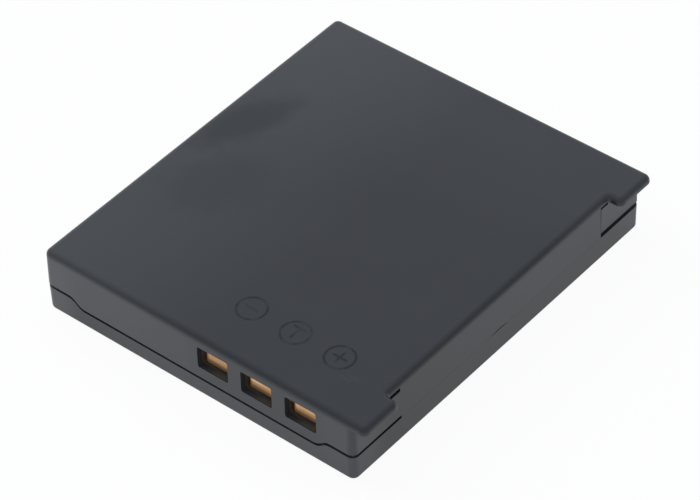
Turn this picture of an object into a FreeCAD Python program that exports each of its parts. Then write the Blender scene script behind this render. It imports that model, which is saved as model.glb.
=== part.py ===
import FreeCAD, Part
import math
import os
import types
import Sketcher

# Rechargeable pack for a wireless mouse: two welded plastic shells round a flat lithium
# cell and its protection board. +Z is up, the contact wall faces -Y, the ears point to +X,
# and the origin is at the middle of the underside of the pack's box. Millimetres.

doc = FreeCAD.newDocument("mouse_battery")

driving_sizes = {
    # outer case, measured on its flat top and bottom; its upright corners are rounder than
    # the top edge by corner_ease
    "case_width": 34.76,
    "case_length": 40.0,
    "case_height": 6.85,
    "corner_ease": 0.04,
    "draft": 1.0,
    "wall": 1.2,
    "top_plate": 0.85,
    "bottom_plate": 0.75,
    "top_round": 0.6,
    "foot_round": 0.4,
    # stepped parting line, weld tongue and the shadow gap between the shells
    "upper_height": 3.83,
    "parting_drop": 0.82,
    "parting_gap": 0.34,
    "panel_gap": 0.05,
    "bend_left": 3.55,
    "bend_right": 3.45,
    "bend_run": 1.95,
    "skin": 0.62,
    "tongue_clear": 0.04,
    "tongue_rise": 0.3,
    # ears, the wall set back under the back one, the slits below the rounded top edge and
    # the fine groove beside the panel's back end
    "ear_reach": 1.36,
    "ear_length": 4.6,
    "ear_thick": 0.74,
    "notch_radius": 0.3,
    "setback": 0.08,
    "setback_round": 0.2,
    "panel_front": 6.25,
    "panel_back": 5.8,
    "slit_lip": 0.03,
    "slit_height": 0.4,
    "slit_depth": 0.45,
    "groove_width": 0.22,
    "groove_depth": 0.2,
    # contact windows
    "window_width": 3.4,
    "window_height": 2.3,
    "window_head": 1.19,
    "window_pitch": 4.86,
    "window_offset": 6.86,
    "window_radius": 0.2,
    # contacts
    "contact_lap_side": 0.3,
    "contact_lap_end": 0.28,
    "contact_base": 0.3,
    "contact_clear": 0.03,
    "contact_depth": 0.53,
    "crown_margin_side": 0.3,
    "crown_margin_end": 0.15,
    "crown_slope": 18.0,
    "crown_round": 0.14,
    # protection board
    "board_end_gap": 1.15,
    "board_top_gap": 0.35,
    "board_thick": 0.8,
    "board_ledge": 0.25,
    "board_clear": 0.05,
    "post_grip": 0.8,
    "post_width": 0.8,
    # cell, pads and what joins it to the board
    "lid_space": 2.45,
    "cell_side_gap": 0.4,
    "cell_end_gap": 0.3,
    "rib_clear": 0.05,
    "rib_width": 1.0,
    "rib_place": 9.0,
    "can_side_flat": 0.6,
    "can_foot_round": 0.6,
    "lid_rim": 0.45,
    "lid_recess": 0.15,
    "inner_round": 0.7,
    "pad_thick": 0.25,
    "pad_side_margin": 3.45,
    "pad_end_margin": 4.86,
    "gasket_length": 4.6,
    "gasket_height": 1.6,
    "gasket_thick": 0.25,
    "terminal_length": 3.4,
    "terminal_height": 1.2,
    "terminal_thick": 0.3,
    "paper_thick": 0.2,
    "paper_margin": 1.4,
    "paper_clear": 0.25,
    "tab_width": 3.0,
    "tab_thick": 0.15,
    "tab_rise": 0.8,
    "tab_leg": 1.6,
    "tab_bend": 0.35,
    "solder_plate_width": 3.6,
    "solder_plate_height": 2.6,
    "solder_plate_thick": 0.2,
    # parts on the back of the board
    "package_length": 2.9,
    "package_width": 1.6,
    "package_height": 1.0,
    "package_lift": 0.1,
    "lead_width": 0.4,
    "lead_span": 2.8,
    "lead_pitch": 0.95,
    "lead_thick": 0.18,
    "package_gap": 1.15,
    "chip_length": 1.6,
    "chip_width": 0.8,
    "resistor_thick": 0.45,
    "capacitor_thick": 0.8,
    "chip_pitch": 1.2,
    "chip_gap": 0.4,
    # how far a cutting outline runs past what it cuts
    "cut_margin": 2.0,
}

sheet = doc.addObject("Spreadsheet::Sheet", "Dims")
for line, (alias, number) in enumerate(driving_sizes.items(), start=1):
    sheet.set("A%d" % line, alias)
    sheet.set("B%d" % line, str(number))
    sheet.setAlias("B%d" % line, alias)
doc.recompute()


class Size:
    # a size that carries both its value and the spreadsheet formula it came from
    def __init__(self, value, formula):
        self.value = value
        self.formula = formula

    def __add__(self, other):
        return join(self, "+", other, self.value + plain(other))

    def __radd__(self, other):
        return join(other, "+", self, plain(other) + self.value)

    def __sub__(self, other):
        return join(self, "-", other, self.value - plain(other))

    def __rsub__(self, other):
        return join(other, "-", self, plain(other) - self.value)

    def __mul__(self, other):
        return join(self, "*", other, self.value * plain(other))

    def __rmul__(self, other):
        return join(other, "*", self, plain(other) * self.value)

    def __truediv__(self, other):
        return join(self, "/", other, self.value / plain(other))

    def __neg__(self):
        return Size(-self.value, "(-%s)" % self.formula)


def plain(size):
    return size.value if isinstance(size, Size) else float(size)


def text(size):
    return size.formula if isinstance(size, Size) else repr(float(size))


def join(first, sign, second, value):
    return Size(value, "(%s %s %s)" % (text(first), sign, text(second)))


def bind(feature, prop, size):
    feature.setExpression(prop, text(size))


d = types.SimpleNamespace(**{
    alias: Size(float(sheet.get(alias)), "Dims." + alias) for alias in driving_sizes
})

# from left to right along the contact wall
contact_names = ("negative_contact", "sense_contact", "positive_contact")
leads_per_side = 3
resistor_count = 3
capacitor_count = 2

# planes that several pieces share
ground = Size(0.0, "0")
mid_x = -d.ear_reach / 2
left = mid_x - d.case_width / 2
right = mid_x + d.case_width / 2
front = -d.case_length / 2
back = d.case_length / 2
ear_edge = right + d.ear_reach
case_corner = d.top_round + d.corner_ease
ceiling = d.case_height - d.top_plate
ear_floor = d.case_height - d.ear_thick
parting_high = d.case_height - d.upper_height
parting_low = parting_high - d.parting_drop
weld_level = parting_high + d.tongue_rise
panel_start = front + d.panel_front
panel_end = back - d.panel_back
contact_x = [mid_x + d.window_offset + step * d.window_pitch for step in (-1, 0, 1)]
window_z = d.case_height - d.window_head - d.window_height / 2
inner_front = front + d.wall
board_front = inner_front + d.contact_clear + d.contact_base
board_back = board_front + d.board_thick
board_level = d.bottom_plate + d.board_ledge
board_length = d.case_width - 2 * (d.wall + d.board_end_gap)
board_height = ceiling - d.board_top_gap - board_level
board_z = board_level + board_height / 2
lid_y = board_back + d.lid_space
cell_end = back - d.wall - d.cell_end_gap
cell_bottom = d.bottom_plate + d.pad_thick
cell_thick = ceiling - d.pad_thick - cell_bottom
cell_width = d.case_width - 2 * (d.wall + d.cell_side_gap)
cell_z = cell_bottom + cell_thick / 2
tab_level = cell_z + d.tab_rise

# along the board, from left to right: positive plate, chips, negative plate, packages, sensor
chip_count = resistor_count + capacitor_count
chip_row = d.chip_width + (chip_count - 1) * d.chip_pitch
negative_x = mid_x
positive_x = negative_x - d.solder_plate_width - 2 * d.chip_gap - chip_row
first_chip_x = positive_x + d.solder_plate_width / 2 + d.chip_gap + d.chip_width / 2
chip_x = [first_chip_x + step * d.chip_pitch for step in range(chip_count)]
controller_x = negative_x + (d.solder_plate_width + d.package_length) / 2 + d.package_gap
switch_x = controller_x + d.package_length + d.package_gap
sensor_x = switch_x + (d.package_length + d.chip_width) / 2 + d.package_gap


def new_body(name):
    body = doc.addObject("PartDesign::Body", name)
    body.Label = name
    return body


def new_sketch(body, name, plane, level):
    # local z of the XZ plane points to -Y, so a level there is turned round
    sketch = body.newObject("Sketcher::SketchObject", name)
    support = [item for item in body.Origin.OriginFeatures if item.Role == plane][0]
    sketch.AttachmentSupport = (support, [""])
    sketch.MapMode = "FlatFace"
    shift = -level if plane == "XZ_Plane" else level
    bind(sketch, "AttachmentOffset.Base.z", shift)
    return sketch


def arc_between(start, end, radius, turn):
    # the short arc from start to end that turns left (1) or right (-1)
    chord = end - start
    middle = (start + end) / 2
    side = FreeCAD.Vector(-chord.y, chord.x, 0).normalize() * turn
    rise = math.sqrt(max(radius ** 2 - (chord.Length / 2) ** 2, 0))
    centre = middle + side * rise
    first, last = (start, end) if turn > 0 else (end, start)
    angles = [math.atan2(p.y - centre.y, p.x - centre.x) for p in (first, last)]
    circle = Part.Circle(centre, FreeCAD.Vector(0, 0, 1), radius)
    return Part.ArcOfCircle(circle, angles[0], angles[1])


def outline(sketch, points):
    # a closed outline; a point with a radius and a turn starts an arc to the next point
    origin, start_of_line, end_of_line = (-1, 1), 1, 2
    corners = [FreeCAD.Vector(plain(p[0]), plain(p[1]), 0) for p in points]
    ends = []
    for number, point in enumerate(points):
        start, end = corners[number], corners[(number + 1) % len(points)]
        if len(point) == 2:
            index = sketch.addGeometry(Part.LineSegment(start, end))
            ends.append((index, start_of_line, end_of_line))
            continue
        radius, turn = point[2], point[3]
        index = sketch.addGeometry(arc_between(start, end, plain(radius), turn))
        ends.append((index, 1, 2) if turn > 0 else (index, 2, 1))
        rule = sketch.addConstraint(Sketcher.Constraint("Radius", index, plain(radius)))
        bind(sketch, "Constraints[%d]" % rule, radius)
    for number, point in enumerate(points):
        index, first, last = ends[number]
        following, next_first, _ = ends[(number + 1) % len(points)]
        sketch.addConstraint(Sketcher.Constraint("Coincident", index, last, following, next_first))
        for kind, place in (("DistanceX", point[0]), ("DistanceY", point[1])):
            rule = Sketcher.Constraint(kind, *origin, index, first, plain(place))
            bind(sketch, "Constraints[%d]" % sketch.addConstraint(rule), place)


def rounded_rectangle(sketch, x, y, width, height, radius):
    x0, x1 = x - width / 2, x + width / 2
    y0, y1 = y - height / 2, y + height / 2
    outline(sketch, [
        (x0 + radius, y0), (x1 - radius, y0, radius, 1),
        (x1, y0 + radius), (x1, y1 - radius, radius, 1),
        (x1 - radius, y1), (x0 + radius, y1, radius, 1),
        (x0, y1 - radius), (x0, y0 + radius, radius, 1),
    ])


def rectangle(sketch, x0, y0, x1, y1):
    outline(sketch, [(x0, y0), (x1, y0), (x1, y1), (x0, y1)])


def pad(body, name, sketch, length, reverse=False, taper=None):
    feature = body.newObject("PartDesign::Pad", name)
    feature.Profile = sketch
    feature.Reversed = reverse
    bind(feature, "Length", length)
    if taper is not None:
        bind(feature, "TaperAngle", taper)
    return feature


def pocket(body, name, sketch, length=None, reverse=False, both_ways=False):
    feature = body.newObject("PartDesign::Pocket", name)
    feature.Profile = sketch
    feature.Reversed = reverse
    if length is None:
        feature.Type = "ThroughAll"
        feature.SideType = "Symmetric" if both_ways else "One side"
    else:
        bind(feature, "Length", length)
    return feature


def row(body, name, original, spacing, count):
    # copies along X
    doc.recompute()
    axis = [item for item in body.Origin.OriginFeatures if item.Role == "X_Axis"][0]
    pattern = body.newObject("PartDesign::LinearPattern", name)
    pattern.Originals = [original]
    pattern.Direction = (axis, [""])
    pattern.Mode = "Spacing"
    bind(pattern, "Offset", spacing)
    pattern.Occurrences = count
    body.Tip = pattern
    return pattern


def round_edges(body, name, base, radius, chosen):
    # rounds the edges of the last feature that the test picks
    doc.recompute()
    names = ["Edge%d" % (i + 1) for i, edge in enumerate(base.Shape.Edges) if chosen(edge)]
    feature = body.newObject("PartDesign::Fillet", name)
    feature.Base = (base, names)
    bind(feature, "Radius", radius)
    return feature


def at_level(edge, axis, level, stray=1e-4):
    # true where the whole edge lies on a plane, or strays from it by less than its draft
    low = getattr(edge.BoundBox, axis + "Min")
    high = getattr(edge.BoundBox, axis + "Max")
    return abs(low - plain(level)) < stray and abs(high - plain(level)) < stray


def parting_points(shift, end):
    # from left to right: high at the side walls, low along the contact wall
    high, low = parting_high + shift, parting_low + shift
    middle = (high + low) / 2
    run, drop = d.bend_run, d.parting_drop
    radius = (run * run + drop * drop) / (4 * drop)
    x_left, x_right = left + d.bend_left, right - d.bend_right
    return [
        (left - d.cut_margin, high),
        (x_left - run / 2, high, radius, -1),
        (x_left, middle, radius, 1),
        (x_left + run / 2, low),
        (x_right - run / 2, low, radius, 1),
        (x_right, middle, radius, -1),
        (x_right + run / 2, high),
        (end, high),
    ]


def parting_cut(body, name, shift, far_level, end):
    sketch = new_sketch(body, name + "_line", "XZ_Plane", ground)
    closing = [(end, far_level), (left - d.cut_margin, far_level)]
    outline(sketch, parting_points(shift, end) + closing)
    return pocket(body, name, sketch, both_ways=True)


def case_outline(sketch, inset):
    rounded_rectangle(sketch, mid_x, ground, d.case_width - 2 * inset,
                      d.case_length - 2 * inset, case_corner)


def make_upper_case():
    body = new_body("upper_case")
    block = new_sketch(body, "upper_outline", "XY_Plane", d.case_height)
    case_outline(block, ground)
    pad(body, "upper_block", block, d.case_height - parting_low, reverse=True, taper=d.draft)

    ears = new_sketch(body, "ear_outline", "XY_Plane", d.case_height)
    root = right - d.wall
    for y0, y1 in ((front, front + d.ear_length), (back - d.ear_length, back)):
        outline(ears, [
            (root, y0),
            (ear_edge - case_corner, y0, case_corner, 1),
            (ear_edge, y0 + case_corner),
            (ear_edge, y1 - case_corner, case_corner, 1),
            (ear_edge - case_corner, y1),
            (root, y1),
        ])
    pad(body, "ears", ears, d.ear_thick, reverse=True, taper=d.draft)

    hollow = new_sketch(body, "upper_hollow_outline", "XY_Plane", ceiling)
    case_outline(hollow, d.wall)
    pocket(body, "upper_hollow", hollow)
    rebate = new_sketch(body, "rebate_outline", "XY_Plane", weld_level)
    case_outline(rebate, d.skin)
    pocket(body, "rebate", rebate)

    # the seam stays open all round except along the side panel, which nearly closes it
    panel_edge_level = parting_high - d.parting_gap + d.panel_gap
    parting_cut(body, "upper_edge", ground, parting_low - d.cut_margin, right - d.wall)
    outside = ear_edge + d.cut_margin
    past_front, past_back = front - d.cut_margin, back + d.cut_margin
    panel_edge = new_sketch(body, "panel_edge_outline", "XY_Plane", panel_edge_level)
    rectangle(panel_edge, right - d.wall, past_front, outside, past_back)
    pocket(body, "panel_edge", panel_edge)
    seam = new_sketch(body, "seam_outline", "XY_Plane", parting_high)
    rectangle(seam, right - d.wall, past_front, outside, panel_start)
    rectangle(seam, right - d.wall, panel_end, outside, past_back)
    pocket(body, "seam_below_ears", seam)

    # wall set back below the back ear, which leaves the side panel proud beside it
    under_ear = new_sketch(body, "setback_outline", "XY_Plane", ear_floor)
    rectangle(under_ear, right - d.setback, panel_end, outside, past_back)
    pocket(body, "setback_wall", under_ear)

    slit_level = d.case_height - d.top_round - d.slit_lip
    slits = new_sketch(body, "slit_outline", "XY_Plane", slit_level)
    slit_floor = right - d.setback - d.slit_depth
    rectangle(slits, slit_floor, front + d.ear_length, outside, panel_start)
    rectangle(slits, slit_floor, panel_end, outside, back - d.ear_length)
    pocket(body, "slits", slits, d.slit_height)
    groove = new_sketch(body, "groove_outline", "XY_Plane", slit_level - d.slit_height)
    rectangle(groove, right - d.setback - d.groove_depth, panel_end, outside,
              panel_end + d.groove_width)
    pocket(body, "panel_groove", groove)

    window = new_sketch(body, "window_outline", "XZ_Plane", front - d.cut_margin)
    rounded_rectangle(window, contact_x[0], window_z, d.window_width, d.window_height,
                      d.window_radius)
    first = pocket(body, "first_window", window, d.wall + 2 * d.cut_margin)
    windows = row(body, "windows", first, d.window_pitch, len(contact_names))

    def notch_corner(edge):
        stray = plain(d.ear_thick) / 4
        ear_sides = (front + d.ear_length, back - d.ear_length)
        upright = edge.BoundBox.ZLength > plain(d.ear_thick) / 2
        beside = any(at_level(edge, "Y", side, stray) for side in ear_sides)
        return upright and beside and at_level(edge, "X", right, stray)

    notches = round_edges(body, "notch_corners", windows, d.notch_radius, notch_corner)

    def setback_corner(edge):
        upright = edge.BoundBox.ZLength > plain(ear_floor - parting_high) / 2
        outer = at_level(edge, "Y", back, plain(case_corner))
        return upright and outer and at_level(edge, "X", right - d.setback)

    corner = round_edges(body, "setback_corner", notches, d.setback_round, setback_corner)

    def top_edge(edge):
        return at_level(edge, "Z", d.case_height)

    round_edges(body, "top_edges", corner, d.top_round, top_edge)
    return body


def make_lower_case():
    body = new_body("lower_case")
    block = new_sketch(body, "lower_outline", "XY_Plane", ground)
    case_outline(block, ground)
    pad(body, "lower_block", block, parting_high, taper=d.draft)
    outside, above = right + d.cut_margin, weld_level + d.cut_margin
    parting_cut(body, "lower_edge", -d.parting_gap, above, outside)
    hollow = new_sketch(body, "lower_hollow_outline", "XY_Plane", d.bottom_plate)
    case_outline(hollow, d.wall)
    pocket(body, "lower_hollow", hollow, reverse=True)

    tongue = new_sketch(body, "tongue_outline", "XY_Plane", d.bottom_plate)
    case_outline(tongue, d.skin + d.tongue_clear)
    case_outline(tongue, d.wall - d.tongue_clear)
    pad(body, "tongue", tongue, weld_level - d.bottom_plate)
    parting_cut(body, "tongue_edge", d.tongue_rise, above, outside)

    # posts that grip the board's ends
    posts = new_sketch(body, "post_outline", "XY_Plane", d.bottom_plate)
    half = board_length / 2
    y0, y1 = inner_front - d.tongue_clear, board_back + d.board_clear + d.post_width
    rectangle(posts, mid_x - half - d.post_width, y0, mid_x - half + d.post_grip, y1)
    rectangle(posts, mid_x + half - d.post_grip, y0, mid_x + half + d.post_width, y1)
    pad(body, "board_posts", posts, parting_high - d.bottom_plate)
    slots = new_sketch(body, "slot_outline", "XY_Plane", board_level)
    y0, y1 = board_front - d.board_clear, board_back + d.board_clear
    reach = half + d.board_clear
    rectangle(slots, mid_x - reach, y0, mid_x - half + d.post_grip + d.board_clear, y1)
    rectangle(slots, mid_x + half - d.post_grip - d.board_clear, y0, mid_x + reach, y1)
    pocket(body, "board_slots", slots, parting_high - board_level, reverse=True)

    # short ribs that centre the cell between the side walls and stop it at the back
    ribs = new_sketch(body, "rib_outline", "XY_Plane", d.bottom_plate)
    root, thick = d.wall - d.tongue_clear, d.rib_width / 2
    side_tip = d.wall + d.cell_side_gap - d.rib_clear
    end_tip = d.wall + d.cell_end_gap - d.rib_clear
    for place in (-d.rib_place, d.rib_place):
        rectangle(ribs, left + root, place - thick, left + side_tip, place + thick)
        rectangle(ribs, right - side_tip, place - thick, right - root, place + thick)
        x = mid_x + place
        rectangle(ribs, x - thick, back - end_tip, x + thick, back - root)
    cell_ribs = pad(body, "cell_ribs", ribs, parting_high - d.bottom_plate)

    def foot_edge(edge):
        return at_level(edge, "Z", ground)

    round_edges(body, "foot_edges", cell_ribs, d.foot_round, foot_edge)
    return body


def make_cell():
    # drawn aluminium can with a welded lid towards the board; sealed, so one solid
    body = new_body("cell")
    radius = (cell_thick - d.can_side_flat) / 2
    can = new_sketch(body, "can_section", "XZ_Plane", lid_y)
    rounded_rectangle(can, mid_x, cell_z, cell_width, cell_thick, radius)
    pad(body, "can", can, cell_end - lid_y, reverse=True)
    lid = new_sketch(body, "lid_outline", "XZ_Plane", lid_y)
    rounded_rectangle(lid, mid_x, cell_z, cell_width - 2 * d.lid_rim,
                      cell_thick - 2 * d.lid_rim, radius - d.lid_rim)
    lid_pocket = pocket(body, "lid", lid, d.lid_recess)

    def foot_edge(edge):
        return at_level(edge, "Y", cell_end)

    round_edges(body, "can_foot", lid_pocket, d.can_foot_round, foot_edge)
    return body


def upright_plate(name, x, z, width, height, radius, back_face, thick):
    # a flat piece that stands in the XZ plane and grows from back_face towards -Y
    body = new_body(name)
    sketch = new_sketch(body, name + "_outline", "XZ_Plane", back_face)
    rounded_rectangle(sketch, x, z, width, height, radius)
    pad(body, name + "_plate", sketch, thick)
    return body


def make_contact(name, x):
    # coined block: a base behind the wall and a crown that stands in the window
    base_front = board_front - d.contact_base
    width = d.window_width + 2 * d.contact_lap_side
    height = d.window_height + 2 * d.contact_lap_end
    body = upright_plate(name, x, window_z, width, height, d.window_radius, board_front,
                         d.contact_base)
    crown = new_sketch(body, name + "_crown_outline", "XZ_Plane", base_front)
    rounded_rectangle(crown, x, window_z, d.window_width - 2 * d.crown_margin_side,
                      d.window_height - 2 * d.crown_margin_end, d.window_radius * 2)
    face = front + d.contact_depth
    top = pad(body, name + "_crown", crown, base_front - face, taper=-d.crown_slope)

    def face_edge(edge):
        return at_level(edge, "Y", face)

    round_edges(body, name + "_crown_edge", top, d.crown_round, face_edge)
    return body


def make_tab(name, x, welded_face):
    # nickel strip bent down on to the solder plate and on to the cell
    body = new_body(name)
    sketch = new_sketch(body, name + "_profile", "YZ_Plane", x - d.tab_width / 2)
    near = board_back + d.solder_plate_thick
    foot = tab_level - d.tab_leg
    outer = d.tab_bend
    inner = d.tab_bend - d.tab_thick
    under = tab_level - d.tab_thick
    outline(sketch, [
        (near, foot),
        (near + d.tab_thick, foot),
        (near + d.tab_thick, under - inner, inner, -1),
        (near + d.tab_thick + inner, under),
        (welded_face - d.tab_thick - inner, under, inner, -1),
        (welded_face - d.tab_thick, under - inner),
        (welded_face - d.tab_thick, foot),
        (welded_face, foot),
        (welded_face, tab_level - outer, outer, 1),
        (welded_face - outer, tab_level),
        (near + outer, tab_level, outer, 1),
        (near, tab_level - outer),
    ])
    pad(body, name + "_strip", sketch, d.tab_width)
    return body


def make_paper(lid_floor, gasket_x, weld_x):
    # insulating paper on the lid, open round the terminal and the weld
    width = cell_width - 2 * d.paper_margin
    height = cell_thick - 2 * d.lid_rim - 2 * d.paper_clear
    body = upright_plate("insulating_paper", mid_x, cell_z, width, height, d.inner_round,
                         lid_floor, d.paper_thick)
    holes = new_sketch(body, "paper_holes", "XZ_Plane", lid_floor)
    rounded_rectangle(holes, gasket_x, cell_z, d.gasket_length + 2 * d.paper_clear,
                      d.gasket_height + 2 * d.paper_clear, d.inner_round)
    rounded_rectangle(holes, weld_x, tab_level - d.tab_leg / 2, d.tab_width + 2 * d.paper_clear,
                      d.tab_leg + 2 * d.paper_clear, d.inner_round)
    pocket(body, "paper_openings", holes, both_ways=True)
    return body


def make_pad(name, level):
    body = new_body(name)
    sketch = new_sketch(body, name + "_outline", "XY_Plane", level)
    width = cell_width - 2 * d.pad_side_margin
    length = cell_end - lid_y - 2 * d.pad_end_margin
    rounded_rectangle(sketch, mid_x, (lid_y + cell_end) / 2, width, length, d.inner_round)
    pad(body, name + "_sheet", sketch, d.pad_thick)
    return body


def make_package(name, x):
    # six-lead plastic package on the back of the board
    body = new_body(name)
    case = new_sketch(body, name + "_case_outline", "XZ_Plane", board_back + d.package_lift)
    rectangle(case, x - d.package_length / 2, board_z - d.package_width / 2,
              x + d.package_length / 2, board_z + d.package_width / 2)
    pad(body, name + "_case", case, d.package_height, reverse=True)
    lead = new_sketch(body, name + "_lead_outline", "XZ_Plane", board_back)
    first_x = x - d.lead_pitch
    rectangle(lead, first_x - d.lead_width / 2, board_z - d.lead_span / 2,
              first_x + d.lead_width / 2, board_z + d.lead_span / 2)
    leads = pad(body, name + "_lead", lead, d.lead_thick, reverse=True)
    row(body, name + "_leads", leads, d.lead_pitch, leads_per_side)
    return body


def make_chips(name, places, thick):
    # small ceramic chips standing side by side, each its own solid
    chips = []
    for number, x in enumerate(places):
        chip = doc.addObject("Part::Box", "%s_%d" % (name, number + 1))
        bind(chip, "Length", d.chip_width)
        bind(chip, "Width", thick)
        bind(chip, "Height", d.chip_length)
        bind(chip, "Placement.Base.x", x - d.chip_width / 2)
        bind(chip, "Placement.Base.y", board_back)
        bind(chip, "Placement.Base.z", board_z - d.chip_length / 2)
        chips.append(chip)
    group = doc.addObject("Part::Compound", name)
    group.Links = chips
    group.Label = name
    return group


lid_floor = lid_y + d.lid_recess
gasket_face = lid_floor - d.gasket_thick
terminal_face = gasket_face - d.terminal_thick
plate_z = tab_level - d.solder_plate_height / 2

nodes = [
    make_upper_case(),
    make_lower_case(),
    make_cell(),
    upright_plate("terminal_gasket", negative_x, cell_z, d.gasket_length, d.gasket_height,
                  d.inner_round, lid_floor, d.gasket_thick),
    upright_plate("negative_terminal", negative_x, cell_z, d.terminal_length, d.terminal_height,
                  d.notch_radius, gasket_face, d.terminal_thick),
    make_paper(lid_floor, negative_x, positive_x),
    make_tab("positive_tab", positive_x, lid_floor),
    make_tab("negative_tab", negative_x, terminal_face),
    make_pad("upper_pad", ceiling - d.pad_thick),
    make_pad("lower_pad", d.bottom_plate),
    upright_plate("circuit_board", mid_x, board_z, board_length, board_height,
                  d.notch_radius, board_back, d.board_thick),
    make_package("protection_chip", controller_x),
    make_package("switch_transistor", switch_x),
    make_chips("chip_resistors", chip_x[:resistor_count], d.resistor_thick),
    make_chips("chip_capacitors", chip_x[resistor_count:], d.capacitor_thick),
    make_chips("heat_sensor", [sensor_x], d.resistor_thick),
]
for name, x in (("positive", positive_x), ("negative", negative_x)):
    nodes.append(upright_plate(name + "_solder_plate", x, plate_z, d.solder_plate_width,
                               d.solder_plate_height, d.notch_radius,
                               board_back + d.solder_plate_thick, d.solder_plate_thick))
for name, x in zip(contact_names, contact_x):
    nodes.append(make_contact(name, x))

doc.recompute()
for item in doc.Objects:
    if "Invalid" in item.State or "Error" in item.State:
        raise RuntimeError("%s failed: %s" % (item.Name, item.State))
for node in nodes:
    if node.Shape.isNull() or not node.Shape.isValid():
        raise RuntimeError("%s has no sound shape" % node.Label)

os.makedirs("parts", exist_ok=True)
for node in nodes:
    node.Shape.exportStep("parts/%s.step" % node.Label)
    box = node.Shape.BoundBox
    print("%-22s %2d solid %9.2f mm3  x %.2f..%.2f  y %.2f..%.2f  z %.2f..%.2f" % (
        node.Label, len(node.Shape.Solids), node.Shape.Volume, box.XMin, box.XMax,
        box.YMin, box.YMax, box.ZMin, box.ZMax))
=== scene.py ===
import bmesh
import bpy
import math
from mathutils import Matrix, Vector


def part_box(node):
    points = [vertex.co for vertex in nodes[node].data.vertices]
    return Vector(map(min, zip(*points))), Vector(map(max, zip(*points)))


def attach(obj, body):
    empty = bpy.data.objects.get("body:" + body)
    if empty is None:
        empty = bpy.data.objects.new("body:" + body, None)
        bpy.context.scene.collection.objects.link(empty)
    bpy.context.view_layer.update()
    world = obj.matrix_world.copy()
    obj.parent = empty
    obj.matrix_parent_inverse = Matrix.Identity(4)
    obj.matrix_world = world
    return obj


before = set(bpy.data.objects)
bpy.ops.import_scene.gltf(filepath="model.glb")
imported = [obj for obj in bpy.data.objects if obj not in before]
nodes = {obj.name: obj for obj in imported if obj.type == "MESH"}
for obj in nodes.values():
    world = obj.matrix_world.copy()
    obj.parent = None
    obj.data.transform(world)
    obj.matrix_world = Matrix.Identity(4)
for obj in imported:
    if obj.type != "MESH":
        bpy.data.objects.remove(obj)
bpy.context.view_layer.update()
scene = bpy.context.scene
scene.view_settings.view_transform = "Standard"
print("frame loaded with", len(nodes), "nodes")


class Wire:  # a socket in a node tree; arithmetic on it adds Math nodes
    def __init__(self, tree, socket=None):
        self.tree = tree
        self.socket = socket

    def node(self, kind, settings=None, sockets=None, out=0):
        made = self.tree.nodes.new(kind)
        for name, value in (settings or {}).items():
            setattr(made, name, value)
        for key, value in (sockets or {}).items():
            for item in value if isinstance(value, list) else [value]:
                if isinstance(item, Wire):
                    self.tree.links.new(item.socket, made.inputs[key])
                else:
                    made.inputs[key].default_value = item
        if isinstance(out, tuple):
            return [Wire(self.tree, made.outputs[name]) for name in out]
        return Wire(self.tree, made.outputs[out]) if made.outputs else made

    def math(self, operation, *values):
        return self.node("ShaderNodeMath", {"operation": operation}, dict(enumerate(values)))

    def __add__(self, other):
        return self.math("ADD", self, other)

    def __sub__(self, other):
        return self.math("SUBTRACT", self, other)

    def __rsub__(self, other):
        return self.math("SUBTRACT", other, self)

    def __mul__(self, other):
        return self.math("MULTIPLY", self, other)

    def __neg__(self):
        return self.math("MULTIPLY", self, -1.0)

    def __gt__(self, other):
        return self.math("GREATER_THAN", self, other)

    def __lt__(self, other):
        return self.math("LESS_THAN", self, other)

    __radd__ = __add__
    __rmul__ = __mul__


def rgb(red, green, blue):
    return (red, green, blue, 1.0)


def newMaterial(name):  # a material and the start of its node tree
    material = bpy.data.materials.new(name)
    material.use_nodes = True
    material.node_tree.nodes.clear()
    return material, Wire(material.node_tree)


def closeMaterial(start, sockets):
    shader = start.node("ShaderNodeBsdfPrincipled", {}, sockets)
    start.node("ShaderNodeOutputMaterial", {}, {"Surface": shader})


def paint(material, *names):
    for name in names:
        nodes[name].data.materials.clear()
        nodes[name].data.materials.append(material)


def millimetres(start):  # place on the part, in millimetres
    place = start.node("ShaderNodeTexCoord", out="Object")
    return place.node("ShaderNodeVectorMath", {"operation": "SCALE"}, {0: place, "Scale": 1000.0})


def part(place, axis):
    return place.node("ShaderNodeSeparateXYZ", {}, {0: place}, axis)


def stretched(place, scale):
    return place.node("ShaderNodeVectorMath", {"operation": "MULTIPLY"}, {0: place, 1: scale})


def noise(place, perMm, detail, seed=0.0):
    return place.node("ShaderNodeTexNoise", {"noise_dimensions": "4D"},
                      {"Vector": place, "W": seed, "Scale": perMm, "Detail": detail}, "Fac")


def ripple(place, perMm, detail, seed=0.0):  # noise about zero
    return noise(place, perMm, detail, seed) - 0.5


def smooth(value, low, high):
    return value.node("ShaderNodeMapRange", {"interpolation_type": "SMOOTHSTEP"},
                      {"Value": value, "From Min": low, "From Max": high})


def grown(value, low, high, share):  # 0 up to low, share from high on
    return smooth(value, low, high) * share


def within(value, low, high):  # 1 up to low, 0 from high on
    return 1.0 - smooth(value, low, high)


def spot(place, centre, radii, turn=0.0):  # 0 at the middle of an ellipse, 1 at its rim
    local = place.node("ShaderNodeMapping", {"vector_type": "TEXTURE"},
                       {"Vector": place, "Location": centre, "Scale": radii,
                        "Rotation": (0.0, 0.0, math.radians(turn))})
    return local.node("ShaderNodeVectorMath", {"operation": "LENGTH"}, {0: local}, "Value")


def mixColour(factor, first, second):
    return factor.node("ShaderNodeMix", {"data_type": "RGBA"}, {0: factor, 6: first, 7: second}, 2)


def bump(height, depth):
    return height.node("ShaderNodeBump", {}, {"Strength": 1.0, "Distance": depth, "Height": height})


def boxInMm(name):  # a node's lowest and highest corners
    return [[1000.0 * value for value in corner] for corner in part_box(name)]


def middle(name):  # middle of a node's box, in millimetres
    return [(a + b) / 2 for a, b in zip(*boxInMm(name))]


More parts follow.
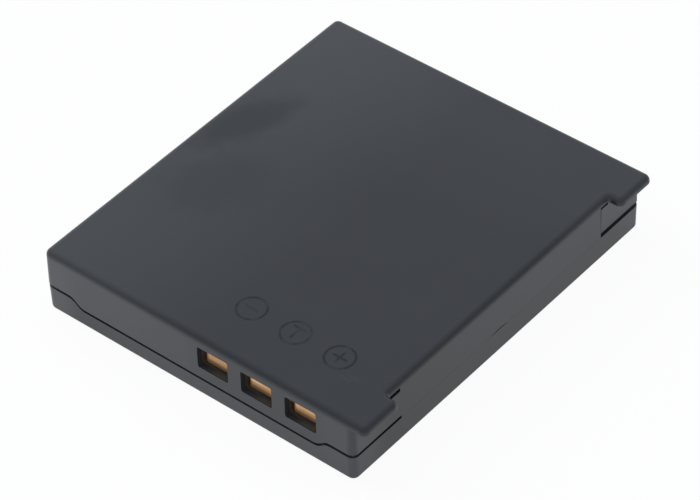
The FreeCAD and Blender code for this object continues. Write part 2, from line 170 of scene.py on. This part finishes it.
# camera, solved from the photograph's edges
photoCamera = {
    "lens": 187.51,  # mm
    "sensor": 36.0,
    "clip": (0.01, 20.0),
    "place": (0.155152, -0.177412, 0.22133),
    "azimuth": 41.206,
    "elevation": 42.905,
    "roll": -2.523,
}


def makeCamera(look):
    data = bpy.data.cameras.new("photoCamera")
    data.lens = look["lens"]
    data.sensor_width = look["sensor"]
    data.clip_start, data.clip_end = look["clip"]
    camera = bpy.data.objects.new("photoCamera", data)
    scene.collection.objects.link(camera)
    turns = (("Z", look["azimuth"]), ("X", 90.0 - look["elevation"]), ("Z", look["roll"]))
    matrix = Matrix.Translation(look["place"])
    for axis, angle in turns:
        matrix = matrix @ Matrix.Rotation(math.radians(angle), 4, axis)
    camera.matrix_world = matrix
    scene.camera = camera
    print("camera in place")


makeCamera(photoCamera)

# floor and soft studio light
studio = {
    "floorSize": 6.0,
    "floorColour": rgb(0.86, 0.86, 0.86),
    "cameraWash": 0.94,  # share of plain white that the camera sees on the floor
    "glossWash": 0.70,  # and that gloss and glass see
    "horizon": rgb(0.44, 0.45, 0.47),
    "zenith": rgb(0.58, 0.62, 0.66),
    "glow": rgb(0.76, 0.80, 0.85),
    "glowSide": (-0.483, 0.551, 0.681),  # direction that the top mirrors to the camera
    "glowEdge": 0.45,  # cosine where the glow starts
    # name, place, aim, width, height, watts
    "softboxes": (
        ("overheadBox", (0.0, 0.0, 1.2), (0.0, 0.0, 0.0), 1.6, 1.6, 2.0),
        ("leftBox", (-0.595, -0.035, 0.371), (0.0, 0.0, 0.0), 0.5, 0.5, 2.6),
    ),
}


def makeFloor(look):
    half = look["floorSize"] / 2
    mesh = bpy.data.meshes.new("floor")
    corners = [(-half, -half, 0), (half, -half, 0), (half, half, 0), (-half, half, 0)]
    mesh.from_pydata(corners, [], [(0, 1, 2, 3)])
    floor = bpy.data.objects.new("floor", mesh)
    scene.collection.objects.link(floor)
    material, start = newMaterial("paleFloor")
    camera, gloss, glass = start.node(
        "ShaderNodeLightPath", out=("Is Camera Ray", "Is Glossy Ray", "Is Transmission Ray"))
    wash = camera * look["cameraWash"] + gloss.math("MAXIMUM", gloss, glass) * look["glossWash"]
    matt = start.node("ShaderNodeBsdfDiffuse", {}, {"Color": look["floorColour"]})
    white = start.node("ShaderNodeEmission", {}, {"Color": rgb(1, 1, 1), "Strength": 1.0})
    mixed = start.node("ShaderNodeMixShader", {}, {0: wash, 1: matt, 2: white})
    start.node("ShaderNodeOutputMaterial", {}, {"Surface": mixed})
    mesh.materials.append(material)


def makeSky(look):
    world = bpy.data.worlds.new("studio")
    world.use_nodes = True
    world.node_tree.nodes.clear()
    start = Wire(world.node_tree)
    direction = start.node("ShaderNodeTexCoord", out="Generated")
    sky = mixColour(smooth(part(direction, "Z"), 0.0, 1.0), look["horizon"], look["zenith"])
    nearness = start.node("ShaderNodeVectorMath", {"operation": "DOT_PRODUCT"},
                          {0: direction, 1: look["glowSide"]}, "Value")
    colour = mixColour(smooth(nearness, look["glowEdge"], 1.0), sky, look["glow"])
    light = start.node("ShaderNodeBackground", {}, {"Color": colour, "Strength": 1.0})
    start.node("ShaderNodeOutputWorld", {}, {"Surface": light})
    scene.world = world


def makeSoftbox(name, place, aim, width, height, watts):
    data = bpy.data.lights.new(name, "AREA")
    data.shape = "RECTANGLE"
    data.size, data.size_y = width, height
    data.energy = watts
    box = bpy.data.objects.new(name, data)
    box.location = place
    box.rotation_euler = (Vector(aim) - Vector(place)).to_track_quat("-Z", "Y").to_euler()
    box.visible_camera = False
    box.visible_glossy = False  # in the gloss, one of them draws a pale line on the front edge
    scene.collection.objects.link(box)


makeFloor(studio)
makeSky(studio)
for softbox in studio["softboxes"]:
    makeSoftbox(*softbox)
print("floor and light in place")

contactNames = ("negative_contact", "sense_contact", "positive_contact")


def acrossContact(x):  # mm to the right of the nearest contact's middle
    first, second = (middle(name)[0] for name in contactNames[:2])
    half = (second - first) / 2
    return x.math("WRAP", x - first, half, -half)


# both shells: charcoal plastic with a fine spark-eroded skin
# pairs are mm along an axis between which painted light or shade grows, and a third number is its share
shellPlastic = {
    "colour": rgb(0.0170, 0.0190, 0.0240),
    # painted light: the paler colour stands for light falling on the top and walls
    "paintedLightColour": rgb(0.0510, 0.0540, 0.0630),
    # dark colour for the smudges, and for the painted shade along the lower side and in the side seam
    "smudgeAndShadeColour": rgb(0.0080, 0.0095, 0.0130),
    "back": (2.0, 18.0),
    "front": (19.2, 19.8),  # towards -y
    "sideWall": 16.2,  # x past which the wall with the ears lies
    "nearCorner": (16.0, 16.35),  # x where the upright corner nearest the camera turns
    "leftEndLight": (13.5, 17.3, 0.7),  # towards -x, painted light at the left end
    "leftEndLightColour": rgb(0.075, 0.079, 0.087),
    "cloud": (0.10, 3.0),  # noise: per mm, detail
    "grain": (9.0, 2.0),
    "grainDepth": 0.000006,
    "roughness": 0.38,
    "roughnessSpread": 0.10,
    "refraction": 1.5,
}


def shellTones(place, look, seed):  # what both shells' colours are mixed from
    x, y = part(place, "X"), part(place, "Y")
    return {
        "cloud": ripple(place, *look["cloud"], seed),
        "back": smooth(y, *look["back"]),
        "front": smooth(-y, *look["front"]),
        "side": x > look["sideWall"],
        "corner": smooth(x, *look["nearCorner"]),
        "leftEndLight": grown(-x, *look["leftEndLight"]),
    }


def closeShell(start, place, look, seed, colour, roughness):
    grain = noise(place, *look["grain"], seed)
    closeMaterial(start, {"Base Color": colour, "Roughness": roughness, "IOR": look["refraction"],
                          "Normal": bump(grain, look["grainDepth"])})


# upper shell: painted light, paler to the left and back and on each wall, with a painted tint on the side
# wall
upperShell = {
    "seed": 1.0,
    "left": (-3.0, 17.0, 0.54),  # towards -x, painted light
    "backShare": 0.22,
    "cloudShare": 0.3,
    "wallTop": (5.9, 6.3),  # z where the walls' painted light ends
    "frontShare": 0.36,
    "besideWindows": (5.0, 8.5, 0.34),  # to either side of the middle window
    "sideRise": (-14.0, 6.0),
    "sideRiseShare": 0.28,
    "underNearEar": (14.0, 18.5, 0.855),  # towards -y, painted light on the wall under the near ear
    "underFarEar": (14.15, 14.3, 0.675),
    "cornerShade": (19.4, 19.7, 0.65),  # towards -y
    # painted light: a paler bluish tint on the side wall with the ears, growing to the far end
    "sideLightTint": rgb(0.036, 0.038, 0.058),
    "sideLightTintShare": (0.1, 0.24),  # at the near end, and added at the far one
}


# the upper shell's colour, with painted light on the top and walls
def upperPaintedLight(place, tones, look, shell):
    x, y, z = (part(place, axis) for axis in "XYZ")
    onWall = within(z, *look["wallTop"])
    fromWindow = x.math("ABSOLUTE", x - middle(contactNames[1])[0])
    rise = smooth(y, *look["sideRise"])
    frontLight = look["frontShare"] + grown(fromWindow, *look["besideWindows"])
    underEarsLight = grown(-y, *look["underNearEar"]) + grown(y, *look["underFarEar"])
    sideLight = rise * look["sideRiseShare"] + underEarsLight
    wallLight = tones["front"] * frontLight + tones["side"] * sideLight
    wallLight = wallLight * (1.0 - tones["corner"] * grown(-y, *look["cornerShade"]))
    topLight = grown(-x, *look["left"]) + tones["back"] * look["backShare"]
    # painted light on the top and walls, with a random cloud of tone
    paintedLightShare = topLight + wallLight * onWall + tones["cloud"] * look["cloudShare"]
    colour = mixColour(paintedLightShare, shell["colour"], shell["paintedLightColour"])
    nearTint, farTint = look["sideLightTintShare"]
    # painted light as a tint on the side wall
    tintedLightShare = tones["side"] * onWall * (nearTint + rise * farTint)
    colour = mixColour(tintedLightShare, colour, look["sideLightTint"])
    # painted light on the left end's walls
    return mixColour(tones["leftEndLight"] * onWall, colour, shell["leftEndLightColour"])


# wear on the upper shell: dark smudges and a scratched patch on the top; painted shade on the side seam,
# where it stands a little open
shellWearAndSeamShade = {
    # centre and radii in mm, turn in degrees, strength
    "smudges": (
        ((-15.2, 3.5, 6.85), (6.8, 2.7, 4.0), 71.0, 0.58),
        ((-12.0, -4.0, 6.85), (7.0, 4.6, 4.0), 60.0, 0.30),
        ((7.8, 5.8, 6.85), (5.0, 2.6, 4.0), 20.0, 0.05),
        ((4.6, -6.0, 6.85), (8.0, 5.0, 4.0), 35.0, 0.15),
    ),
    "smudgeEdge": (0.35, 1.1),  # share of the radii
    "ragged": (0.55, 4.0, 6.0),  # noise: per mm, detail, seed
    "raggedShare": 0.9,
    "scuff": ((13.3, -15.75, 6.85), (1.9, 0.55, 1.0), 20.0),
    "scuffEdge": (0.3, 1.0),
    "scuffColour": rgb(0.0420, 0.0440, 0.0470),
    "scuffRoughness": 0.25,
    "scratchPerMm": (1.1, 7.0, 1.0),
    "scratch": (1.0, 3.0, 8.0),
    "scratchEdge": (0.45, 0.7),
    # painted shade in the side seam, where it stands a little open
    "seamShade": ((16.7, -0.4, 2.76), (2.0, 1.3, 0.13)),
    "seamShadeEdge": (0.5, 1.0),
    "seamShadeRoughness": 0.5,
}


def smudged(place, colour, look, smudgeAndShadeColour):
    ragged = ripple(place, *look["ragged"]) * look["raggedShare"]
    for centre, radii, turn, strength in look["smudges"]:
        reach = spot(place, centre, radii, turn) + ragged
        colour = mixColour(within(reach, *look["smudgeEdge"]) * strength, colour, smudgeAndShadeColour)
    return colour


def scuffMask(place, look):
    scratches = noise(stretched(place, look["scratchPerMm"]), *look["scratch"])
    return within(spot(place, *look["scuff"]), *look["scuffEdge"]) * smooth(scratches, *look["scratchEdge"])


# windows: painted light on their insides, painted brown light bounced from the gold deep inside, and painted
# light reflected from the gold on the right half of the sill
windowPaintedLight = {
    # painted light: the insides lifted above the shell's colour, brown bounce light from the gold deep
    # inside, light reflected from the gold on the sill
    "colour": rgb(0.040, 0.045, 0.052),
    "bounceColour": rgb(0.16, 0.10, 0.058),
    "sillLightColour": rgb(0.084, 0.072, 0.063),
    "start": (0.10, 0.18),  # mm behind the front wall
    "deep": (0.54, 0.70),
    "end": 1.2,
    "beside": 2.0,  # mm from the outer contacts' middles
    "head": 5.8,  # z
    "sill": 3.5,
    "sillLightAcross": (-0.9, 0.5),  # mm to the right of a contact's middle
}


def withWindowLight(place, colour, look):
    x, y, z = (part(place, axis) for axis in "XYZ")
    low, high = (middle(contactNames[number])[0] for number in (0, -1))
    behind = y - boxInMm("upper_case")[0][1]
    inside = smooth(behind, *look["start"]) * (behind < look["end"]) * (z < look["head"])
    inside = inside * (x > low - look["beside"]) * (x < high + look["beside"])
    insideLight = mixColour(smooth(behind, *look["deep"]), look["colour"], look["bounceColour"])
    sill = smooth(acrossContact(x), *look["sillLightAcross"]) * (z < look["sill"])
    insideLight = mixColour(sill, insideLight, look["sillLightColour"])
    return mixColour(inside, colour, insideLight)


def makeUpperPlastic(look, shell, wear, windows):
    material, start = newMaterial("upperPlastic")
    place = millimetres(start)
    tones = shellTones(place, shell, look["seed"])
    colour = upperPaintedLight(place, tones, look, shell)
    colour = smudged(place, colour, wear, shell["smudgeAndShadeColour"])
    scuffed = scuffMask(place, wear)
    colour = mixColour(scuffed, colour, wear["scuffColour"])
    # painted light inside the windows
    colour = withWindowLight(place, colour, windows)
    # painted shade on the side seam
    seamShadeMask = within(spot(place, *wear["seamShade"]), *wear["seamShadeEdge"])
    colour = mixColour(seamShadeMask, colour, shell["smudgeAndShadeColour"])
    roughness = shell["roughness"] + tones["cloud"] * shell["roughnessSpread"]
    roughness = roughness + scuffed * wear["scuffRoughness"] + seamShadeMask * wear["seamShadeRoughness"]
    closeShell(start, place, shell, look["seed"], colour, roughness)
    return material


paint(makeUpperPlastic(upperShell, shellPlastic, shellWearAndSeamShade, windowPaintedLight), "upper_case")
print("upper shell painted")

# lower shell: painted light towards the back, front and ends, painted shade along its side, and pale dust in
# the seam's gap that is also painted light
lowerShell = {
    "seed": 2.0,
    "backShare": 0.25,
    "cloudShare": 0.2,
    "frontShare": 0.7,
    "frontLeft": (4.0, 15.0, 0.65),  # towards -x, share of the front's painted light that is lost
    "farEnd": (15.0, 18.5, 0.4),
    "nearEnd": (15.0, 18.0),  # towards -y
    "nearEndShare": 0.5,
    "nearShade": (-2.0, 18.0),  # towards -y
    # pale dust in the seam's gap, also painted light that lifts the gap's shade
    "dustAndLightColour": rgb(0.40, 0.41, 0.43),
    "dustAndLightDepth": (0.27, 0.45),  # mm behind the outer walls
    "dustAndLightLevel": (0.6, 1.2),  # mm above the underside
}


def makeLowerPlastic(look, shell):
    material, start = newMaterial("lowerPlastic")
    place = millimetres(start)
    x, y, z = (part(place, axis) for axis in "XYZ")
    tones = shellTones(place, shell, look["seed"])
    nearEnd = tones["corner"] * smooth(-y, *look["nearEnd"])
    frontLight = tones["front"] * (1.0 - grown(-x, *look["frontLeft"])) * look["frontShare"]
    sideLight = tones["side"] * grown(y, *look["farEnd"]) + nearEnd * look["nearEndShare"]
    # painted light, with a random cloud of tone
    paintedLightShare = tones["back"] * look["backShare"] + frontLight + sideLight + tones["cloud"] * look["cloudShare"]
    colour = mixColour(paintedLightShare, shell["colour"], shell["paintedLightColour"])
    nearShade = smooth(-y, *look["nearShade"]) * tones["side"] * (1.0 - nearEnd)
    colour = mixColour(nearShade, colour, shell["smudgeAndShadeColour"])
    # painted light on the left end
    colour = mixColour(tones["leftEndLight"], colour, shell["leftEndLightColour"])
    low, high = boxInMm("lower_case")
    inside = x.math("MINIMUM", x.math("MINIMUM", x - low[0], high[0] - x),
                    y.math("MINIMUM", y - low[1], high[1] - y))
    # dust and painted light in the seam's gap
    dustAndLight = smooth(inside, *look["dustAndLightDepth"]) * smooth(z, *look["dustAndLightLevel"])
    colour = mixColour(dustAndLight, colour, look["dustAndLightColour"])
    roughness = shell["roughness"] + tones["cloud"] * shell["roughnessSpread"]
    closeShell(start, place, shell, look["seed"], colour, roughness)
    return material


paint(makeLowerPlastic(lowerShell, shellPlastic), "lower_case")
print("lower shell painted")

# contacts: gold flash over nickel, with a painted highlight along the top and painted shade to the left and
# below, which is also rougher
goldFlash = {
    "colour": rgb(0.37, 0.20, 0.085),
    # painted highlight along the top of each contact
    "highlightColour": rgb(0.70, 0.42, 0.205),
    # painted shade: darker gold to the left and below each contact's middle
    "dullColour": rgb(0.21, 0.128, 0.074),
    "unshadedAcross": (-1.25, -0.75),  # mm to the right of a contact's middle
    "unshadedAbove": (-0.60, -0.05),  # mm above it
    "highlightAbove": (-0.10, 0.55),
    "streakAcross": 0.3,  # mm that the streaks shift those places
    "streakAbove": 0.2,
    "streakHighlight": 1.1,
    "streakStretch": (0.12, 1.0, 1.0),
    "streak": (5.0, 2.0),  # noise: per mm, detail
    "streakDepth": 0.0000004,
    "roughness": 0.12,
    "roughnessSpread": 0.08,
    "dullRoughness": 0.40,
}


def makeGold(look):
    material, start = newMaterial("goldFlash")
    place = millimetres(start)
    streak = noise(stretched(place, look["streakStretch"]), *look["streak"])
    shift = streak - 0.5
    across = acrossContact(part(place, "X"))
    above = part(place, "Z") - middle(contactNames[0])[2]
    # painted highlight, higher up on each contact
    highlight = smooth(above + shift * look["streakHighlight"], *look["highlightAbove"])
    colour = mixColour(highlight, look["colour"], look["highlightColour"])
    # painted shade to the left and below, which is also rougher
    unshaded = smooth(across + shift * look["streakAcross"], *look["unshadedAcross"])
    unshaded = unshaded * smooth(above + shift * look["streakAbove"], *look["unshadedAbove"])
    colour = mixColour(unshaded, look["dullColour"], colour)
    roughness = look["roughness"] + streak * look["roughnessSpread"] + (1.0 - unshaded) * look["dullRoughness"]
    closeMaterial(start, {"Base Color": colour, "Roughness": roughness, "Metallic": 1.0,
                          "Normal": bump(streak, look["streakDepth"])})
    return material


paint(makeGold(goldFlash), *contactNames)
print("contacts painted")

# cell: drawn aluminium can with faint draw lines along its length
canAluminium = {
    "colour": rgb(0.74, 0.75, 0.76),
    "dullColour": rgb(0.60, 0.61, 0.63),
    "roughness": 0.28,
    "lines": (6.0, 3.0),  # noise: per mm, detail
    "stretch": (1.0, 0.03, 1.0),
}
# tabs, plates and terminal: rolled nickel strip
nickelStrip = {
    "colour": rgb(0.66, 0.63, 0.58),
    "dullColour": rgb(0.52, 0.49, 0.44),
    "roughness": 0.26,
    "lines": (9.0, 3.0),
    "stretch": (0.06, 1.0, 1.0),
}
# what the two have in common
drawnFinish = {
    "haze": (0.3, 3.0, 6.0),  # noise: per mm, detail, seed
    "hazeShare": 0.4,
    "lineShare": 0.6,
    "dulled": (0.35, 0.7),
    "lineDepth": 0.000002,
    "roughnessSpread": 0.12,
}


def makeDrawnMetal(name, look, finish):
    material, start = newMaterial(name)
    place = millimetres(start)
    lines = noise(stretched(place, look["stretch"]), *look["lines"])
    haze = noise(place, *finish["haze"])
    dulled = smooth(lines * finish["lineShare"] + haze * finish["hazeShare"], *finish["dulled"])
    colour = mixColour(dulled, look["colour"], look["dullColour"])
    roughness = look["roughness"] + haze * finish["roughnessSpread"]
    closeMaterial(start, {"Base Color": colour, "Roughness": roughness, "Metallic": 1.0,
                          "Normal": bump(lines, finish["lineDepth"])})
    return material


paint(makeDrawnMetal("canAluminium", canAluminium, drawnFinish), "cell")
paint(makeDrawnMetal("nickelStrip", nickelStrip, drawnFinish), "negative_terminal", "positive_tab",
      "negative_tab", "positive_solder_plate", "negative_solder_plate")
print("cell and tabs painted")

# washer under the cell's terminal
gasketWhite = {
    "colour": rgb(0.80, 0.80, 0.77),
    "second": rgb(0.70, 0.70, 0.67),
    "fibrePerMm": (2.0, 2.0, 2.0),
    "fibreDepth": 0.000004,
    "roughness": 0.45,
}
# paper on the cell's lid
fishPaper = {
    "colour": rgb(0.62, 0.52, 0.31),
    "second": rgb(0.50, 0.40, 0.21),
    "fibrePerMm": (9.0, 9.0, 2.2),
    "fibreDepth": 0.00001,
    "roughness": 0.8,
}
# pads between the cell and the shells
adhesiveFoam = {
    "colour": rgb(0.026, 0.026, 0.027),
    "second": rgb(0.050, 0.050, 0.052),
    "fibrePerMm": (7.0, 7.0, 7.0),
    "fibreDepth": 0.00004,
    "roughness": 0.9,
}
# what the three have in common
grainedFinish = {
    "fibre": (1.0, 4.0),  # noise: per stretched mm, detail
    "fibreShare": 0.7,
    "blotch": (0.4, 2.0, 3.0),  # noise: per mm, detail, seed
    "blotchShare": 0.3,
    "mixed": (0.35, 0.65),
    "roughnessSpread": 0.08,
}


def makeGrained(name, look, finish):
    material, start = newMaterial(name)
    place = millimetres(start)
    fibre = noise(stretched(place, look["fibrePerMm"]), *finish["fibre"])
    blotch = noise(place, *finish["blotch"])
    mixed = smooth(fibre * finish["fibreShare"] + blotch * finish["blotchShare"], *finish["mixed"])
    colour = mixColour(mixed, look["colour"], look["second"])
    roughness = look["roughness"] - blotch * finish["roughnessSpread"]
    closeMaterial(start, {"Base Color": colour, "Roughness": roughness,
                          "Normal": bump(fibre, look["fibreDepth"])})
    return material


paint(makeGrained("gasketWhite", gasketWhite, grainedFinish), "terminal_gasket")
paint(makeGrained("fishPaper", fishPaper, grainedFinish), "insulating_paper")
paint(makeGrained("adhesiveFoam", adhesiveFoam, grainedFinish), "upper_pad", "lower_pad")
print("paper, gasket and pads painted")

# board: solder mask over glass weave, with copper runs showing through
boardMask = {
    "mask": rgb(0.014, 0.115, 0.040),
    "overCopper": rgb(0.030, 0.205, 0.070),
    "edge": rgb(0.42, 0.40, 0.22),
    "edgeWidth": 0.02,  # mm of bare laminate at the rim
    "runs": {"Scale": 0.42, "Mortar Size": 0.055, "Brick Width": 1.9, "Row Height": 0.5},
    "runOffset": 0.5,
    "weavePerMm": 3.0,
    "weaveShare": 0.1,
    "depth": 0.00001,
    "roughness": 0.3,
    "edgeRoughness": 0.45,  # added on the bare rim
}


def makeBoard(look):
    material, start = newMaterial("boardMask")
    place = millimetres(start)
    x, z = part(place, "X"), part(place, "Z")
    flat = start.node("ShaderNodeCombineXYZ", {}, {0: x, 1: z})
    lane = start.node("ShaderNodeTexBrick", {"offset": look["runOffset"]},
                      {"Vector": flat, **look["runs"]}, "Fac")
    turns = look["weavePerMm"] * math.tau
    weave = x.math("SINE", x * turns) * z.math("SINE", z * turns)
    low, high = boxInMm("circuit_board")
    width = look["edgeWidth"]
    rim = z.math("MAXIMUM", z < low[2] + width, z > high[2] - width)
    ends = x.math("MAXIMUM", x < low[0] + width, x > high[0] - width)
    bare = rim.math("MAXIMUM", rim, ends)
    colour = mixColour(bare, mixColour(lane, look["overCopper"], look["mask"]), look["edge"])
    closeMaterial(start, {"Base Color": colour, "Roughness": look["roughness"] + bare * look["edgeRoughness"],
                          "Normal": bump(weave * look["weaveShare"] - lane, look["depth"])})
    return material


paint(makeBoard(boardMask), "circuit_board")
print("board painted")

# parts on the board: a body between tinned ends or leads
packageBody = {
    "colour": rgb(0.018, 0.018, 0.019),
    "second": rgb(0.030, 0.030, 0.032),
    "bodyHalf": 0.8,  # mm from the middle to where the tin starts
    "roughness": 0.55,
}
resistorBody = {
    "colour": rgb(0.022, 0.022, 0.026),
    "second": rgb(0.040, 0.040, 0.045),
    "bodyHalf": 0.5,
    "roughness": 0.25,
}
capacitorBody = {
    "colour": rgb(0.36, 0.24, 0.13),
    "second": rgb(0.28, 0.18, 0.09),
    "bodyHalf": 0.5,
    "roughness": 0.4,
}
tinnedEnds = {
    "colour": rgb(0.70, 0.70, 0.69),
    "roughness": 0.24,
    "grain": (12.0, 3.0),  # noise: per mm, detail
    "grainDepth": 0.000003,
    "roughnessSpread": 0.1,
}


def makeTinned(name, look, ends, node):
    material, start = newMaterial(name)
    place = millimetres(start)
    fromMiddle = part(place, "Z") - middle(node)[2]
    tin = fromMiddle.math("ABSOLUTE", fromMiddle) > look["bodyHalf"]
    grain = noise(place, *ends["grain"])
    body = mixColour(grain, look["colour"], look["second"])
    colour = mixColour(tin, body, ends["colour"])
    tinChange = ends["roughness"] - look["roughness"]
    roughness = look["roughness"] + grain * ends["roughnessSpread"] + tin * tinChange
    closeMaterial(start, {"Base Color": colour, "Roughness": roughness, "Metallic": tin,
                          "Normal": bump(grain, ends["grainDepth"])})
    return material


paint(makeTinned("packageBody", packageBody, tinnedEnds, "protection_chip"),
      "protection_chip", "switch_transistor")
paint(makeTinned("resistorBody", resistorBody, tinnedEnds, "chip_resistors"),
      "chip_resistors", "heat_sensor")
paint(makeTinned("capacitorBody", capacitorBody, tinnedEnds, "chip_capacitors"), "chip_capacitors")
print("board parts painted")

# polarity signs: thin raised lines on the top, each sign in a ring behind its contact, sizes in metres
signRings = {
    "radius": 0.00136,  # to the middle of the line
    "ringPoints": 64,
    "line": 0.00023,
    "crest": 0.00015,  # the line's width at its top
    "rise": 0.000004,
    "sunk": 0.000003,
    "behind": 0.00558,  # from the front wall to the rings' middle
    "beside": -0.00018,  # from a contact's middle to its ring's middle
    "arm": 0.00074,
    "colour": rgb(0.0022, 0.0030, 0.0062),
    "wornColour": rgb(0.0150, 0.0170, 0.0215),
    "wear": (1.1, 2.0, 9.0),  # noise: per mm, detail, seed
    "wearEdge": (0.44, 0.60),
    "roughness": 0.32,
    "roughnessSpread": 0.15,
    "refraction": 1.45,
}


def signStrokes(look):  # minus, tee and plus, as strokes that meet end to side
    arm, line = look["arm"], look["line"]
    half = line / 2
    bar = ((-arm, 0.0), (arm, 0.0))
    teeBar = ((-arm, arm - half), (arm, arm - half))
    return (
        (bar,),
        (teeBar, ((0.0, arm - line), (0.0, -arm))),
        (bar, ((0.0, half), (0.0, arm)), ((0.0, -half), (0.0, -arm))),
    )


def makeSignPlastic(look):
    material, start = newMaterial("signPlastic")
    wear = noise(millimetres(start), *look["wear"])
    colour = mixColour(smooth(wear, *look["wearEdge"]), look["colour"], look["wornColour"])
    closeMaterial(start, {"Base Color": colour, "IOR": look["refraction"],
                          "Roughness": look["roughness"] + wear * look["roughnessSpread"]})
    return material


def makeSignTree(look):
    tree = bpy.data.node_groups.new("signRings", "GeometryNodeTree")
    kinds = {"Radius": "Float", "Line": "Float", "Crest": "Float", "Height": "Float", "Pitch": "Float",
             "Count": "Int", "First Place": "Vector", "Skin": "Material"}
    sockets = {name: tree.interface.new_socket(name, in_out="INPUT", socket_type="NodeSocket" + kind)
               for name, kind in kinds.items()}
    tree.interface.new_socket("Geometry", in_out="OUTPUT", socket_type="NodeSocketGeometry")
    start = Wire(tree)
    given = dict(zip(sockets, start.node("NodeGroupInput", out=tuple(sockets))))
    profile = start.node("GeometryNodeCurvePrimitiveQuadrilateral", {"mode": "TRAPEZOID"},
                         {"Bottom Width": given["Line"], "Top Width": given["Crest"],
                          "Height": given["Height"], "Offset": 0.0})

    def swept(curve, caps):
        upright = start.node("GeometryNodeSetCurveNormal", {"mode": "Z_UP"}, {"Curve": curve})
        return start.node("GeometryNodeCurveToMesh", {},
                          {"Curve": upright, "Profile Curve": profile, "Fill Caps": caps})

    step = start.node("ShaderNodeCombineXYZ", {}, {0: given["Pitch"]})
    places = start.node("GeometryNodeMeshLine", {"mode": "OFFSET"}, {"Count": given["Count"], "Offset": step})
    circle = start.node("GeometryNodeCurvePrimitiveCircle", {"mode": "RADIUS"},
                        {"Resolution": look["ringPoints"], "Radius": given["Radius"]}, "Curve")
    rings = start.node("GeometryNodeInstanceOnPoints", {},
                       {"Points": places, "Instance": swept(circle, False)})
    pieces = [rings]
    for number, strokes in enumerate(signStrokes(look)):
        shift = start.node("ShaderNodeCombineXYZ", {}, {0: given["Pitch"] * float(number)})
        for begin, end in strokes:
            line = start.node("GeometryNodeCurvePrimitiveLine", {"mode": "POINTS"},
                              {"Start": (*begin, 0.0), "End": (*end, 0.0)})
            pieces.append(start.node("GeometryNodeTransform", {},
                                     {"Geometry": swept(line, True), "Translation": shift}))
    joined = start.node("GeometryNodeJoinGeometry", {}, {"Geometry": pieces})
    moved = start.node("GeometryNodeTransform", {}, {"Geometry": joined, "Translation": given["First Place"]})
    flat = start.node("GeometryNodeSetShadeSmooth", {}, {"Geometry": moved, "Shade Smooth": False})
    solid = start.node("GeometryNodeRealizeInstances", {}, {"Geometry": flat})
    skinned = start.node("GeometryNodeSetMaterial", {}, {"Geometry": solid, "Material": given["Skin"]})
    start.node("NodeGroupOutput", {}, {"Geometry": skinned})
    return tree, {name: socket.identifier for name, socket in sockets.items()}


def makeSigns(look):
    tree, identifiers = makeSignTree(look)
    holder = bpy.data.objects.new("signHolder", bpy.data.meshes.new("signHolder"))
    scene.collection.objects.link(holder)
    modifier = holder.modifiers.new("signRings", "NODES")
    modifier.node_group = tree
    first, second = (middle(name)[0] / 1000 for name in contactNames[:2])
    low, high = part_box("upper_case")
    height = look["rise"] + look["sunk"]
    firstPlace = (first + look["beside"], low[1] + look["behind"], high[2] + look["rise"] - height / 2)
    values = {"Radius": look["radius"], "Line": look["line"], "Crest": look["crest"], "Height": height,
              "Pitch": second - first, "Count": len(contactNames), "First Place": firstPlace,
              "Skin": makeSignPlastic(look)}
    for name, value in values.items():
        modifier[identifiers[name]] = value
    evaluated = holder.evaluated_get(bpy.context.evaluated_depsgraph_get())
    mesh = bpy.data.meshes.new_from_object(evaluated)
    mesh.name = "polaritySigns"
    holder.modifiers.remove(modifier)
    bpy.data.objects.remove(holder)
    sound = bmesh.new()
    sound.from_mesh(mesh)
    bmesh.ops.recalc_face_normals(sound, faces=sound.faces)
    sound.to_mesh(mesh)
    sound.free()
    signs = bpy.data.objects.new("polaritySigns", mesh)
    scene.collection.objects.link(signs)
    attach(signs, "root")
    print("signs made with", len(mesh.polygons), "faces")


makeSigns(signRings)
